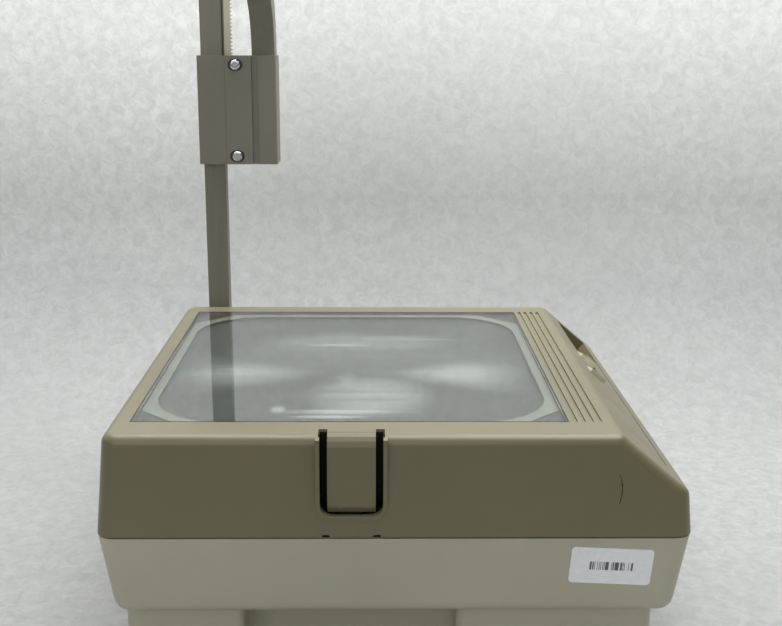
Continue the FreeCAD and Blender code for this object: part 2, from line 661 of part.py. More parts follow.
def rack():
    """Toothed strip with a plain front flange, on a web set back against the post.

    Its long outline is worked out point by point, so it is one plain shape.
    """
    web = 2.1
    back, tip = POST_RIGHT + web, RACK_PITCH_X + d.gear_module
    points = [FreeCAD.Vector(x, float(PINION_Y[0]), z) for x, z in rack_outline(back, tip)]
    face = Part.Face(Part.makePolygon(points + points[:1]))
    teeth = face.extrude(FreeCAD.Vector(0, float(d.gear_width), 0))
    low, high = rack_span()
    flange_front, flange_rear = float(PINION_Y[0]) - 1.4, float(PINION_Y[0])
    flange = Part.makeBox(float(tip - back) - 0.3, flange_rear - flange_front, high - low,
                          FreeCAD.Vector(float(back), flange_front, low))
    relief = Part.makeBox(float(d.gear_module) * 3, 0.4, high - low,
                          FreeCAD.Vector(float(RACK_PITCH_X) - 1.25, flange_rear - 0.3, low))
    web_front = float(PINION_Y[0]) + 4.5
    mount = Part.makeBox(web - 0.1, float(PINION_Y[1]) - web_front, high - low,
                         FreeCAD.Vector(float(POST_RIGHT) + 0.1, web_front, low))
    strip = DOC.addObject("Part::Feature", "rack_shape")
    strip.Shape = teeth.fuse([flange.cut(relief), mount]).removeSplitter()
    node("focus_rack", strip)


def involute_gear(module, teeth, backlash, pressure=20.0):
    """Closed outline points of a spur gear with a gap facing -X."""
    pitch_radius = module * teeth / 2
    base_radius = pitch_radius * math.cos(math.radians(pressure))
    tip_radius, root_radius = pitch_radius + module * 0.95, pitch_radius - 1.25 * module
    involute = math.tan(math.radians(pressure)) - math.radians(pressure)
    half_tooth = math.pi / (2 * teeth) - backlash / (2 * pitch_radius) + involute
    flank = []
    for step in range(7):
        radius = max(base_radius, root_radius) + step / 6 * (tip_radius - base_radius)
        roll = math.sqrt(max(0.0, (radius / base_radius) ** 2 - 1))
        flank.append((radius, half_tooth - (roll - math.atan(roll))))
    points = []
    for tooth in range(teeth):
        centre = math.pi + (tooth + 0.5) * 2 * math.pi / teeth
        side = [(root_radius, flank[0][1] + 0.02)] + flank
        around_tooth = [(r, centre - a) for r, a in side]
        around_tooth += [(r, centre + a) for r, a in reversed(side)]
        points += [(r * math.cos(a), r * math.sin(a)) for r, a in around_tooth]
    return points


# ---------------------------------------------------------------- stage lid

def lid_blank(shrink):
    """Drafted lid block with its control slope; shrink gives the hollow inside."""
    top = d.stage_height - shrink
    x, y = (LEFT + shrink, RIGHT - shrink), (FRONT + shrink, LID_REAR - shrink)
    draft = d.lid_draft
    low = PARTING + d.seam_gap / 2 - (0 if float(shrink) == 0 else 1)
    block = taper(x, y, (low, top), (x[0] + draft, x[1] - draft), (y[0] + draft, y[1] - draft))
    return block, slope_box((-40, 120), (FRONT - 5, LID_REAR + 5), (-shrink, 80))


def lid_outside():
    block, waste = lid_blank(as_size(0))
    corners = fillet(block, d.corner_radius, upright)
    sloped = cut(corners, waste)
    above = float(PARTING) + 5
    return fillet(sloped, d.edge_radius, lambda middle, way: (
        middle.z > above and not upright(middle, way)
        and not (abs(way.z) > 0.5 and middle.x < float(SLOPE_TOP_X))))


def stage_well():
    """Wall and bottom ledge under the glass opening, which hold the Fresnel frame."""
    wall = 2.5
    x = (GLASS_X[0] - d.gasket, GLASS_X[1] + d.gasket)
    y = (GLASS_Y[0] - d.gasket, GLASS_Y[1] + d.gasket)
    deck = d.stage_height
    ledge, ledge_thickness = 5, 4
    ledge_low = STACK_LOW - ledge_thickness
    well = box((x[0] - wall, x[1] + wall), (y[0] - wall, y[1] + wall), (ledge_low, deck - 1))
    bottom_hole = box((x[0] + ledge, x[1] - ledge), (y[0] + ledge, y[1] - ledge),
                      (ledge_low - 1, STACK_LOW))
    opening = box(x, y, (STACK_LOW - 0.1, deck + 1))
    return well, opening, bottom_hole


def hinge_lugs():
    lugs = []
    for x in HINGES:
        plate = box((x + 2.6, x + 8.6), around(d.hinge_y, 10), (d.hinge_z, d.stage_height - 1))
        lugs.append(fuse(plate, rod((x + 2.6, d.hinge_y, d.hinge_z), 5, 6, X)))
    return lugs


def latch_recess(grow):
    """U-shaped recess in the front wall round the latch tongue, grown by a skin."""
    half = d.latch_width / 2 + grow
    low, top = LATCH_LOW - grow, d.stage_height
    slab = box((d.latch_x - half, d.latch_x + half), (FRONT - 2 + grow, FRONT + d.latch_depth),
               (low, top + 2 - grow * 1.2))
    room = box((d.latch_x - half, d.latch_x + half),
               (FRONT + d.latch_depth - 1, FRONT + d.latch_room + grow), (low, top - 6 + grow))
    bottom = float(low)
    return fillet(fuse(slab, room), d.latch_radius + grow, lambda middle, way: (
        abs(way.y) > 0.9 and middle.z < bottom + 0.1))


def lid_housing():
    """Moulded stage lid: glass opening, grip ribs, control pocket, latch opening."""
    hollow_block, hollow_waste = lid_blank(d.wall)
    rounded = fillet(hollow_block, d.corner_radius - d.wall, upright)
    shell = cut(lid_outside(), cut(rounded, hollow_waste))
    well, opening, bottom_hole = stage_well()
    keys_x = (d.key_top - KEY_GAP, d.key_top + d.key_width + KEY_GAP)
    keys_y = (d.key_near - KEY_GAP, KEY_FAR + KEY_GAP)
    dish_x = (d.dish_top, d.slot_x + d.slot_width / 2)
    dish_y = (KEY_FAR, d.dish_far)
    skin = d.pocket_skin
    cups = [slope_box((across[0] - skin, across[1] + skin), (span[0] - skin, span[1] + skin),
                      (-d.pocket_depth - skin, -1))
            for across, span in ((keys_x, keys_y), (dish_x, dish_y))]
    pockets = [slope_box(keys_x, keys_y, (-d.pocket_depth, 5)),
               slope_box(dish_x, dish_y, (-d.pocket_depth, 5))]
    lugs = hinge_lugs()
    pin_holes = [rod((x, d.hinge_y, d.hinge_z), d.pin_radius, 12, X) for x in HINGES]
    solid = fuse(shell, well, *cups, *lugs, latch_recess(as_size(d.pocket_skin)))
    key_holes = [slope_box(around(KEY_ALONG, 8), around(y, 14), (-d.pocket_depth - 4, 0))
                 for y in KEY_CENTRES]
    long_slot = slope_box(around(d.slot_x, d.slot_width), (FRONT + 32, KEY_FAR + 1),
                          (-d.slot_depth, 5))
    hook_slot = box(around(d.latch_x, 18), (FRONT + 5.6, FRONT + 15),
                    (LATCH_LOW - d.pocket_skin - 1, LATCH_LOW + 1))
    ribs = [box(around(GLASS_X[1] + d.rib_pitch * (step + 1), d.rib_width), GLASS_Y,
                (d.stage_height - d.rib_depth, d.stage_height + 1))
            for step in range(DIMENSIONS["rib_count"])]
    relief = box((LEFT - 1, RIGHT + 1), (d.hinge_y - 2, LID_REAR + 1), (0, PARTING + 4.5))
    slots = [box(around(x, 10), (d.hinge_y, LID_REAR + 1), (PARTING - 2, d.hinge_z + 8))
             for x in HINGES]
    notches = [box(around(d.latch_x + side * 15.5, 4.5), (FRONT - 1, FRONT + 5),
                   (0, PARTING + 2)) for side in (-1, 1)]
    lid = cut(solid, opening, bottom_hole, *pockets, long_slot, latch_recess(as_size(0)),
              hook_slot, relief, *ribs, *slots, *notches, *pin_holes, *key_holes)
    node("lid_housing", lid)
    pins = [rod((x - 3, d.hinge_y, d.hinge_z), d.pin_radius, 11.6, X) for x in HINGES]
    node("hinge_pins", group(*pins))


def stage_optics():
    """Glass, gasket, mask and the two Fresnel sheets in their frame."""
    x, y, top = GLASS_X, GLASS_Y, d.stage_height
    glass_low = top - d.glass_thickness
    node("stage_glass", box(x, y, (glass_low, top)))
    gasket_gap = 0.1
    outside = box((x[0] - d.gasket + gasket_gap, x[1] + d.gasket - gasket_gap),
                  (y[0] - d.gasket + gasket_gap, y[1] + d.gasket - gasket_gap),
                  (glass_low, top - 0.3))
    inside = box((x[0] - gasket_gap, x[1] + gasket_gap), (y[0] - gasket_gap, y[1] + gasket_gap),
                 (glass_low - 1, top + 1))
    node("glass_gasket", cut(outside, inside))
    corner = d.mask_chamfer
    edge = 0.5
    sheet_x, sheet_y = (x[0] + edge, x[1] - edge), (y[0] + edge, y[1] - edge)
    outline = [(sheet_x[0] + corner, sheet_y[0]), (sheet_x[1] - corner, sheet_y[0]),
               (sheet_x[1], sheet_y[0] + corner), (sheet_x[1], sheet_y[1] - corner),
               (sheet_x[1] - corner, sheet_y[1]), (sheet_x[0] + corner, sheet_y[1]),
               (sheet_x[0], sheet_y[1] - corner), (sheet_x[0], sheet_y[0] + corner)]
    mask_low = glass_low - 2
    window = box((x[0] + d.aperture_inset, x[1] - d.aperture_inset),
                 (y[0] + d.aperture_inset, y[1] - d.aperture_inset), (mask_low - 1, top))
    rounded = fillet(window, d.aperture_radius, upright)
    mask = prism("XY", outline, 0.7, (0, 0, mask_low))
    node("aperture_mask", cut(mask, rounded))
    low, high = STACK_LOW, mask_low - 0.1
    border, lip, lip_height = 5.5, 9, 1.5
    frame = cut(box((x[0] + CLEAR, x[1] - CLEAR), (y[0] + CLEAR, y[1] - CLEAR), (low, high)),
                box((x[0] + border, x[1] - border), (y[0] + border, y[1] - border),
                    (low + lip_height, high + 1)),
                box((x[0] + lip, x[1] - lip), (y[0] + lip, y[1] - lip), (low - 1, high)))
    plates = [prism("XY", triangle, 1, (0, 0, high - 1))
              for triangle in corner_triangles((x[0] + 2, x[1] - 2), (y[0] + 2, y[1] - 2))]
    node("fresnel_frame", fuse(frame, *plates))
    lens_x = (x[0] + border + CLEAR, x[1] - border - CLEAR)
    lens_y = (y[0] + border + CLEAR, y[1] - border - CLEAR)
    for name, base in (("fresnel_lower", low + 1.7), ("fresnel_upper", low + 4.6)):
        node(name, box(lens_x, lens_y, (base, base + 2.2)))
    clips = []
    for side, inward in ((x[0], 1), (x[1], -1)):
        for across in (y[0] + 60, y[1] - 60):
            foot = box(around(side + inward * 5, 12), around(across, 9), (low - 5.6, low - 4.1))
            tab = box(around(side + inward * 8, 2), around(across, 9), (low - 4.1, low - 0.1))
            clips.append(fuse(foot, tab))
    node("fresnel_clips", group(*clips))


def corner_triangles(x, y):
    """Dark corner plates outside the mask's cut corners."""
    size = d.mask_chamfer + 8
    return [[(x[0], y[0]), (x[0] + size, y[0]), (x[0], y[0] + size)],
            [(x[1], y[0]), (x[1], y[0] + size), (x[1] - size, y[0])],
            [(x[1], y[1]), (x[1] - size, y[1]), (x[1], y[1] - size)],
            [(x[0], y[1]), (x[0], y[1] - size), (x[0] + size, y[1])]]


def control_keys():
    """Two paddle rockers on the slope, with their switch bodies below."""
    half_length, half_width = d.key_length / 2 - 0.5, d.key_width / 2
    for name, y in zip(("power_key", "lamp_level_key"), KEY_CENTRES):
        outline = [(-half_length, -5), (half_length, -5), (half_length, -2.5), (0, -0.8),
                   (-half_length, 2.6)]
        paddle = prism("YZ", outline, half_width * 2,
                       slope_frame(KEY_ALONG - half_width, y, 0), Y, SLOPE)
        stem = slope_box(around(KEY_ALONG, 4), around(y, 5), (-14.2, -4))
        node(name, fuse(paddle, stem))
    bodies = [slope_box(around(KEY_ALONG, 15), around(y, 26), (-32, -16.5)) for y in KEY_CENTRES]
    node("switch_bodies", group(*bodies))


def latch_tongue():
    """Springy tongue in the front wall, pressed in at its foot to free the lid."""
    top = d.stage_height
    low = LATCH_LOW + d.tongue_gap
    lean = d.lid_draft / d.lid_height
    face_low = FRONT + lean * (low - PARTING) + 2.6
    face_high = FRONT + lean * (top - 9 - PARTING) + 0.9
    outline = [(face_high + 7.6, top - 0.1), (face_high + 6, top - 0.3),
               (face_high + 3.2, top - 1.4), (face_high + 1.1, top - 3.6), (face_high, top - 7),
               (face_low - 1.3, low + 12), (face_low, low + 4), (face_low + 2.2, low),
               (face_low + 5, low), (face_low + 3, low + 5), (face_high + 3, top - 9),
               (face_high + 4.4, top - 4.6), (face_high + 7.6, top - 3)]
    width = d.tongue_width
    tongue = prism("YZ", outline, width, (d.latch_x - width / 2, 0, 0))
    hook = prism("YZ", [(face_low + 3, low + 3), (face_low + 5, low), (face_low + 5, PARTING - 11),
                        (face_low + 3, PARTING - 11)], 14, (d.latch_x - 7, 0, 0))
    node("latch_tongue", fuse(tongue, hook))


# ---------------------------------------------------------------- focus carriage

def sleeve():
    """Focus sleeve: slides on the post, houses the pinion and holds the arm."""
    x, y = (d.sleeve_left, d.sleeve_right), (d.sleeve_front, d.sleeve_rear)
    z = (d.sleeve_bottom, d.sleeve_top)
    cavity_left = d.post_left - d.glide
    channel = box((cavity_left, RACK_PITCH_X + d.gear_module + d.glide),
                  (d.post_front - d.glide, d.post_front + d.post_depth + d.glide),
                  (z[0] - 1, z[1] + 1))
    pinion_room = rod((PINION_X, PINION_Y[0] - 1.5, PINION_Z), GEAR_RADIUS + 2, d.gear_width + 3, Y)
    shaft_hole = rod((PINION_X, y[0] + 2, PINION_Z), 3 + d.running_fit, 40, Y)
    arm_room = box(around(ARM_X, d.arm_width), ARM_Y, (z[0] + 3, z[1] + 1))
    cover_seat = box(COVER_X, (y[0] - 1, y[0] + 1.5), (z[0] - 1, z[1] + 1))
    groove = box((COVER_X[1], COVER_X[1] + 5.5), (y[0] - 1, y[0] + 2), (z[0] - 1, z[1] + 1))
    screw_holes = [rod((SCREW_X, y[0] - 1, height), 1.9, 6, Y) for height in SCREW_Z]
    rear_y = float(y[1]) - 1
    shell = fillet(box(x, y, z), 2, lambda middle, way: (
        upright(middle, way) or middle.y > rear_y))
    node("sleeve_body", cut(shell, channel, pinion_room, shaft_hole, arm_room, cover_seat,
                            groove, *screw_holes))
    recesses = [rod((SCREW_X, y[0] - 2, height), 5.2, 2.35, Y) for height in SCREW_Z]
    plate = box((COVER_X[0] + 0.15, COVER_X[1] - 0.15), (y[0] - 0.4, y[0] + 1.4), z)
    holes = [rod((SCREW_X, y[0] - 3, height), 2, 6, Y) for height in SCREW_Z]
    node("sleeve_cover", cut(plate, *recesses, *holes))
    screws = [screw_with_cross((SCREW_X, y[0] + 0.3, height)) for height in SCREW_Z]
    node("sleeve_screws", group(*screws))


def screw_with_cross(at):
    """Pan-head cross-recess screw facing -Y."""
    x, y, z = at
    face_y = float(y) - 2.6
    head = fillet(rod((x, y - 2.6, z), 4.4, 2.6, Y), 1.5,
                  lambda middle, way: middle.y < face_y + 0.1)
    shank = rod((x, y - 0.1, z), 1.8, 4, Y)
    arms = [box(around(x, 3.6), (y - 4, y - 1.3), around(z, 0.9)),
            box(around(x, 0.9), (y - 4, y - 1.3), around(z, 3.6))]
    return cut(fuse(head, shank), *arms)


def arm_path():
    """Wire of the arm's middle line: up, leaning forward, then level into the head."""
    y0, z0 = float(ARM_Y[0] + d.arm_depth / 2), float(d.sleeve_bottom) + 3
    bend_z, radius = float(d.sleeve_top), float(d.arm_radius)
    lean = math.radians(float(d.arm_lean))
    x = float(ARM_X)

    def point(y, z):
        return FreeCAD.Vector(x, y, z)

    start, bend = point(y0, z0), point(y0, bend_z)
    first_mid = point(y0 - radius * (1 - math.cos(lean / 2)), bend_z + radius * math.sin(lean / 2))
    leave = point(y0 - radius * (1 - math.cos(lean)), bend_z + radius * math.sin(lean))
    turn = math.pi / 2 - lean
    end_y = float(d.head_rear) + 4
    meet_y = end_y + radius * math.sin(turn)
    rise = (leave.y - meet_y) / math.tan(lean)
    meet = point(meet_y, leave.z + rise)
    last_mid = point(end_y + radius * math.sin(turn / 2),
                     meet.z + radius * (math.cos(turn / 2) - math.cos(turn)))
    level = point(end_y, meet.z + radius * (1 - math.cos(turn)))
    stop = point(end_y - 30, level.z)
    edges = [Part.LineSegment(start, bend), Part.Arc(bend, first_mid, leave),
             Part.LineSegment(leave, meet), Part.Arc(meet, last_mid, level),
             Part.LineSegment(level, stop)]
    return Part.Wire([edge.toShape() for edge in edges]), level.z


def rectangle_wire(width, depth, centre):
    half_width, half_depth = width / 2, depth / 2
    corners = [FreeCAD.Vector(centre.x + a * half_width, centre.y + b * half_depth, centre.z)
               for a, b in ((-1, -1), (1, -1), (1, 1), (-1, 1))]
    return Part.makePolygon(corners + corners[:1])


def arm():
    """Bent rectangular tube, swept along straight runs and arcs."""
    path, level = arm_path()
    start = path.Vertexes[0].Point
    wall = 2 * float(d.arm_wall)
    width, depth = float(d.arm_width), float(d.arm_depth)
    outer = path.makePipeShell([rectangle_wire(width, depth, start)], True, True)
    inner = path.makePipeShell([rectangle_wire(width - wall, depth - wall, start)], True, True)
    tube = DOC.addObject("Part::Feature", "arm_shape")
    tube.Shape = outer.cut(inner)
    node("arm_tube", tube)
    return level


def focus_drive():
    """Pinion, shaft and rear knob, which turn together."""
    points = [FreeCAD.Vector(x, 0, z) for x, z in
              involute_gear(float(d.gear_module), int(DIMENSIONS["gear_teeth"]), 0.12)]
    gear = Part.Face(Part.makePolygon(points + points[:1]))
    gear = gear.extrude(FreeCAD.Vector(0, float(d.gear_width), 0))
    bore = Part.makeCylinder(3, float(d.gear_width), FreeCAD.Vector(0, 0, 0), Y)
    pinion = DOC.addObject("Part::Feature", "pinion_shape")
    pinion.Shape = gear.cut(bore)
    place(pinion, (PINION_X, PINION_Y[0], PINION_Z))
    node("pinion_gear", pinion)
    knob_y = (d.sleeve_rear + 7, d.overall_depth / 2)
    shaft = rod((PINION_X, d.sleeve_front + 5, PINION_Z), 3, knob_y[1] - 6 - d.sleeve_front - 5, Y)
    node("pinion_shaft", shaft)
    blank = rod((PINION_X, knob_y[0], PINION_Z), d.knob_radius, knob_y[1] - knob_y[0], Y)
    round_knob = fillet(blank, 2.5, lambda middle, way: True)
    grips = [rod((PINION_X + (d.knob_radius + 1.2) * math.cos(angle), knob_y[0] - 1,
                  PINION_Z + (d.knob_radius + 1.2) * math.sin(angle)), 2.4, 26, Y)
             for angle in (step * math.pi / 9 for step in range(18))]
    bore = rod((PINION_X, knob_y[0] - 1, PINION_Z), 3, knob_y[1] - 5 - knob_y[0], Y)
    node("focus_knob", cut(round_knob, bore, *grips))


# ---------------------------------------------------------------- head

def head(level):
    """Two-part head shell round the objective, on the end of the arm."""
    x, y = (d.head_left, d.head_right), (d.head_front, d.head_rear)
    seam, low, top = d.head_seam, d.head_bottom, d.head_top
    wall = d.wall
    corner, rim = d.head_corner, 4
    outside_low = fillet(fillet(box(x, y, (low, seam - 0.1)), corner, upright), rim,
                         lambda middle, way: middle.z < float(low) + 0.1)
    outside_top = fillet(fillet(box(x, y, (seam + 0.1, top)), corner, upright), rim,
                         lambda middle, way: middle.z > float(top) - 0.1)
    inside = fillet(box((x[0] + wall, x[1] - wall), (y[0] + wall, y[1] - wall),
                        (low + wall, top - wall)), corner - wall, upright)
    half = d.arm_depth / 2
    arm_hole = box(around(ARM_X, d.arm_width), (y[1] - corner - 1, y[1] + 4),
                   (level - half, level + half))
    bore = rod((AXIS_X, AXIS_Y, low - 1), d.barrel_radius + 0.1, 60)
    screw_spots = [(x[0] + 14, y[0] + 14), (x[1] - 14, y[0] + 14), (x[1] - 14, y[1] - 14)]
    bosses = [rod((a, b, low + 1), 4.5, seam - low - 1.1) for a, b in screw_spots]
    upper_bosses = [rod((a, b, seam + 0.1), 4.5, top - seam - 1) for a, b in screw_spots]
    holes = [rod((a, b, low - 1), 1.8, 30) for a, b in screw_spots]
    heads = [rod((a, b, low - 1), 3.6, 3.5) for a, b in screw_spots]
    node("head_lower_shell", cut(fuse(cut(outside_low, inside), *bosses), bore, arm_hole,
                                 *holes, *heads))
    lugs = []
    for y0, y1 in mirror_lug_spans():
        lug = fuse(box(around(d.mirror_hinge_x, 12), (y0, y1), (top - 1, d.mirror_hinge_z)),
                   rod((d.mirror_hinge_x, y0, d.mirror_hinge_z), 6, y1 - y0, Y))
        lugs.append(cut(lug, rod((d.mirror_hinge_x, y0 - 1, d.mirror_hinge_z),
                                 2 + d.running_fit, y1 - y0 + 2, Y)))
    node("head_upper_shell", cut(fuse(cut(outside_top, inside), *upper_bosses, *lugs), bore,
                                 arm_hole, *holes))
    screws = [fuse(rod((a, b, low + 0.4), 3.3, 2), rod((a, b, low + 1), 1.6, 26))
              for a, b in screw_spots]
    node("head_screws", group(*screws))


def mirror_lug_spans():
    outside = d.mirror_width / 2 + 0.6
    return [(AXIS_Y - outside - 5, AXIS_Y - outside), (AXIS_Y + outside, AXIS_Y + outside + 5)]


def objective():
    """Lens barrel with two glass elements and a screwed ring."""
    low, high = d.head_bottom - 12, d.head_top - 4
    radius = d.barrel_radius
    barrel = cut(rod((AXIS_X, AXIS_Y, low), radius, high - low),
                 rod((AXIS_X, AXIS_Y, low - 1), d.lens_radius + 0.2, high - low + 2))
    flange = cut(rod((AXIS_X, AXIS_Y, low), radius + 4, 5),
                 rod((AXIS_X, AXIS_Y, low - 1), radius - 0.5, 8))
    node("lens_barrel", fuse(barrel, flange))
    bulge = 95
    for name, base, flip in (("objective_lower", low + 6, -1), ("objective_upper", high - 14, 1)):
        edge = 5
        centre_z = base + edge + 4 - bulge if flip > 0 else base - 4 + bulge
        lens = common(ball((AXIS_X, AXIS_Y, centre_z), bulge),
                      rod((AXIS_X, AXIS_Y, base - 4 if flip < 0 else base), d.lens_radius, edge + 4))
        node(name, lens)
    node("lens_ring", cut(rod((AXIS_X, AXIS_Y, low - 3), radius + 1, 2.9),
                          rod((AXIS_X, AXIS_Y, low - 4), d.lens_radius - 2.5, 6)))


def mirror_flap():
    """Tilting mirror holder, drawn closed over the lens and set open about its pins."""
    hinge = (d.mirror_hinge_x, AXIS_Y, d.mirror_hinge_z)
    half = d.mirror_width / 2
    length = d.mirror_length
    low, high = -1, 9
    tray = box((-6, length), (-half, half), (low, high))
    rounded = fillet(fillet(tray, 10, lambda middle, way: upright(middle, way) and middle.x > 50),
                     3, lambda middle, way: middle.z > high - 0.1)
    recess = box((8, length - 4), (-half + 4, half - 4), (low - 1, low + 4))
    tab = box((length - 1, length + 9), (-14, 14), (low + 2, low + 6))
    holder = cut(fuse(rounded, tab), recess, rod((0, -half - 1, 0), 2, 2 * half + 2, Y))
    glass = box((8.5, length - 4.5), (-half + 4.5, half - 4.5), (low + 0.8, low + 3.9))
    pins = rod((0, -half - 6, 0), 2, 2 * half + 12, Y)
    for name, thing in (("mirror_holder", holder), ("head_mirror", glass), ("mirror_pin", pins)):
        node(name, place(group(thing), hinge, Y, -d.mirror_rest_angle))


# ---------------------------------------------------------------- checks and export

def check_everything():
    """Stop on any failed feature or unsound sub-part."""
    DOC.recompute()
    for thing in DOC.Objects:
        if {"Invalid", "Error"} & set(thing.State):
            raise RuntimeError(f"{thing.Name} failed: {thing.State}")
    for thing in NODES:
        if thing.Shape.isNull() or not thing.Shape.isValid() or thing.Shape.Volume <= 0:
            raise RuntimeError(f"{thing.Label} has no sound shape")


def export_nodes():
    os.makedirs("parts", exist_ok=True)
    for thing in NODES:
        thing.Shape.exportStep(f"parts/{thing.Label}.step")


def main():
    base_housing()
    bottom_and_feet()
    rear_grille()
    fan()
    lamp_house()
    lamp_changer()
    electrical_parts()
    hinge_brackets()
    latch_keeper()
    asset_label()
    column()
    rack()
    lid_housing()
    stage_optics()
    control_keys()
    latch_tongue()
    sleeve()
    level = arm()
    focus_drive()
    head(level)
    objective()
    mirror_flap()
    check_everything()
    export_nodes()


main()
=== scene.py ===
import json
import math

import bmesh
import bpy
from mathutils import Euler, Matrix, Vector


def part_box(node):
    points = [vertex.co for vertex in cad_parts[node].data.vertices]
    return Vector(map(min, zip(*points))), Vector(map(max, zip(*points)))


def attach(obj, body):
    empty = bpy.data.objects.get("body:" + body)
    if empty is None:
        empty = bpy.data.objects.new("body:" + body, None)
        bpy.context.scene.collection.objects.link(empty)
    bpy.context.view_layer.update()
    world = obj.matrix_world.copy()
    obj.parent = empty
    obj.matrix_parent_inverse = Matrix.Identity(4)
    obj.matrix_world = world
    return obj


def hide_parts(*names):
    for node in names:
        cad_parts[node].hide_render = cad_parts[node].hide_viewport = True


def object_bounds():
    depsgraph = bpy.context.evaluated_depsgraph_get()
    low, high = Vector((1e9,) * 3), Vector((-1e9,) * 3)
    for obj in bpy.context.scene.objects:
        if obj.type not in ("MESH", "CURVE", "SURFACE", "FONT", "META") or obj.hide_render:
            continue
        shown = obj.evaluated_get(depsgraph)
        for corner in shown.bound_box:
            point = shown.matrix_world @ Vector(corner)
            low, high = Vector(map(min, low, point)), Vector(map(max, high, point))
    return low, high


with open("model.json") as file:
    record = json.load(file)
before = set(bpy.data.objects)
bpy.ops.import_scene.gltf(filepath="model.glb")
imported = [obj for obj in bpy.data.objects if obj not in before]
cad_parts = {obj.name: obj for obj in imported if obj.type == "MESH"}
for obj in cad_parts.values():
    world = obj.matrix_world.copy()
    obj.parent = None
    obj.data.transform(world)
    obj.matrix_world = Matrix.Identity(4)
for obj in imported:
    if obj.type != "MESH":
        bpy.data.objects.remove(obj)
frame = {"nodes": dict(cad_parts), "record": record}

# Looks for the overhead projector.  Metres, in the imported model's frame.

CAD_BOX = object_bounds()
CAD_FRONT = CAD_BOX[0].y
NODES = frame["nodes"]
MM = 0.001

# scratch on the lid's front: its middle, half length and how strongly it bows
SCRATCH_X, SCRATCH_Z, SCRATCH_REACH, SCRATCH_BOW = 137 * MM, 139 * MM, 9 * MM, 18.0
# the base's front face leans by BASE_DRAFT over BASE_HEIGHT, and the sticker is set a little askew
BASE_DRAFT, BASE_HEIGHT, LABEL_TILT = 7 * MM, 54.5 * MM, math.radians(2.8)


# ---------------------------------------------------------------- material nodes

def tone(red, green, blue):
    """A display colour, 0 to 255 a channel, as linear RGBA."""
    def linear(value):
        share = value / 255
        return share / 12.92 if share <= 0.04045 else ((share + 0.055) / 1.055) ** 2.4
    return (linear(red), linear(green), linear(blue), 1)


def shade(colour, factor):
    return tuple(min(1, channel * factor) for channel in colour[:3]) + (1,)


class Graph:
    """The node tree of one procedural material, round a Principled shader."""

    def __init__(self, name, **sockets):
        self.material = bpy.data.materials.new(name)
        self.material.use_nodes = True
        self.tree = self.material.node_tree
        self.surface = self.tree.nodes["Principled BSDF"]
        self.place = self.node("ShaderNodeTexCoord").outputs["Object"]
        for socket, value in sockets.items():
            self.set(socket.replace("_", " "), value)

    def node(self, kind, inputs=(), **settings):
        made = self.tree.nodes.new(kind)
        for name, value in settings.items():
            setattr(made, name, value)
        for socket, value in dict(inputs).items():
            self.feed(made.inputs[socket], value)
        return made

    def feed(self, socket, value):
        if isinstance(value, bpy.types.NodeSocket):
            self.tree.links.new(value, socket)
        else:
            socket.default_value = value

    def set(self, socket, value):
        self.feed(self.surface.inputs[socket], value)

    def math(self, operation, first, second=0.0):
        return self.node("ShaderNodeMath", {0: first, 1: second}, operation=operation).outputs[0]

    def moved(self, location=(0, 0, 0), rotation=(0, 0, 0), scale=(1, 1, 1), vector=None):
        inputs = {"Vector": vector or self.place, "Location": location, "Rotation": rotation,
                  "Scale": scale}
        return self.node("ShaderNodeMapping", inputs).outputs[0]

    def noise(self, scale, detail=3.0, roughness=0.5, vector=None, distortion=0.0):
        inputs = {"Vector": vector or self.place, "Scale": scale, "Detail": detail,
                  "Roughness": roughness, "Distortion": distortion}
        return self.node("ShaderNodeTexNoise", inputs).outputs[0]

    def remap(self, value, low, high, new_low=0.0, new_high=1.0):
        inputs = {"Value": value, "From Min": low, "From Max": high, "To Min": new_low,
                  "To Max": new_high}
        return self.node("ShaderNodeMapRange", inputs).outputs[0]

    def mix(self, factor, first, second, blend_type="MIX"):
        made = self.node("ShaderNodeMix", data_type="RGBA", blend_type=blend_type)
        for index, value in ((0, factor), (6, first), (7, second)):
            self.feed(made.inputs[index], value)
        return made.outputs[2]

    def bump(self, height, distance):
        inputs = {"Height": height, "Distance": distance, "Strength": 1.0}
        return self.node("ShaderNodeBump", inputs).outputs[0]

    def axes(self, vector=None):
        split = self.node("ShaderNodeSeparateXYZ", {0: vector or self.place})
        return split.outputs


def moulded(name, colour, roughness, grain_depth=0.015 * MM, soil=0.35, specular=0.5):
    """Injection-moulded plastic: fine spark grain, faint flow marks, handling dust."""
    g = Graph(name, Specular_IOR_Level=specular)
    grain, variation = 0.7 * MM, 0.06
    flow = g.noise(7, 4, 0.55)
    base = g.mix(g.remap(flow, 0.3, 0.7), shade(colour, 1 - variation),
                 shade(colour, 1 + variation))
    specks = g.remap(g.noise(650, 5, 0.75), 0.67, 0.73, 0, soil)
    smears = g.remap(g.noise(32, 4, 0.55), 0.56, 0.8, 0, soil * 0.35)
    dusted = g.mix(smears, base, shade(colour, 0.72))
    g.set("Base Color", g.mix(specks, dusted, shade(colour, 0.35)))
    worn = g.noise(24, 5, 0.65)
    g.set("Roughness", g.remap(worn, 0.3, 0.72, roughness - 0.05, roughness + 0.07))
    g.set("Normal", g.bump(g.noise(1 / grain, 2, 0.6), grain_depth))
    return g


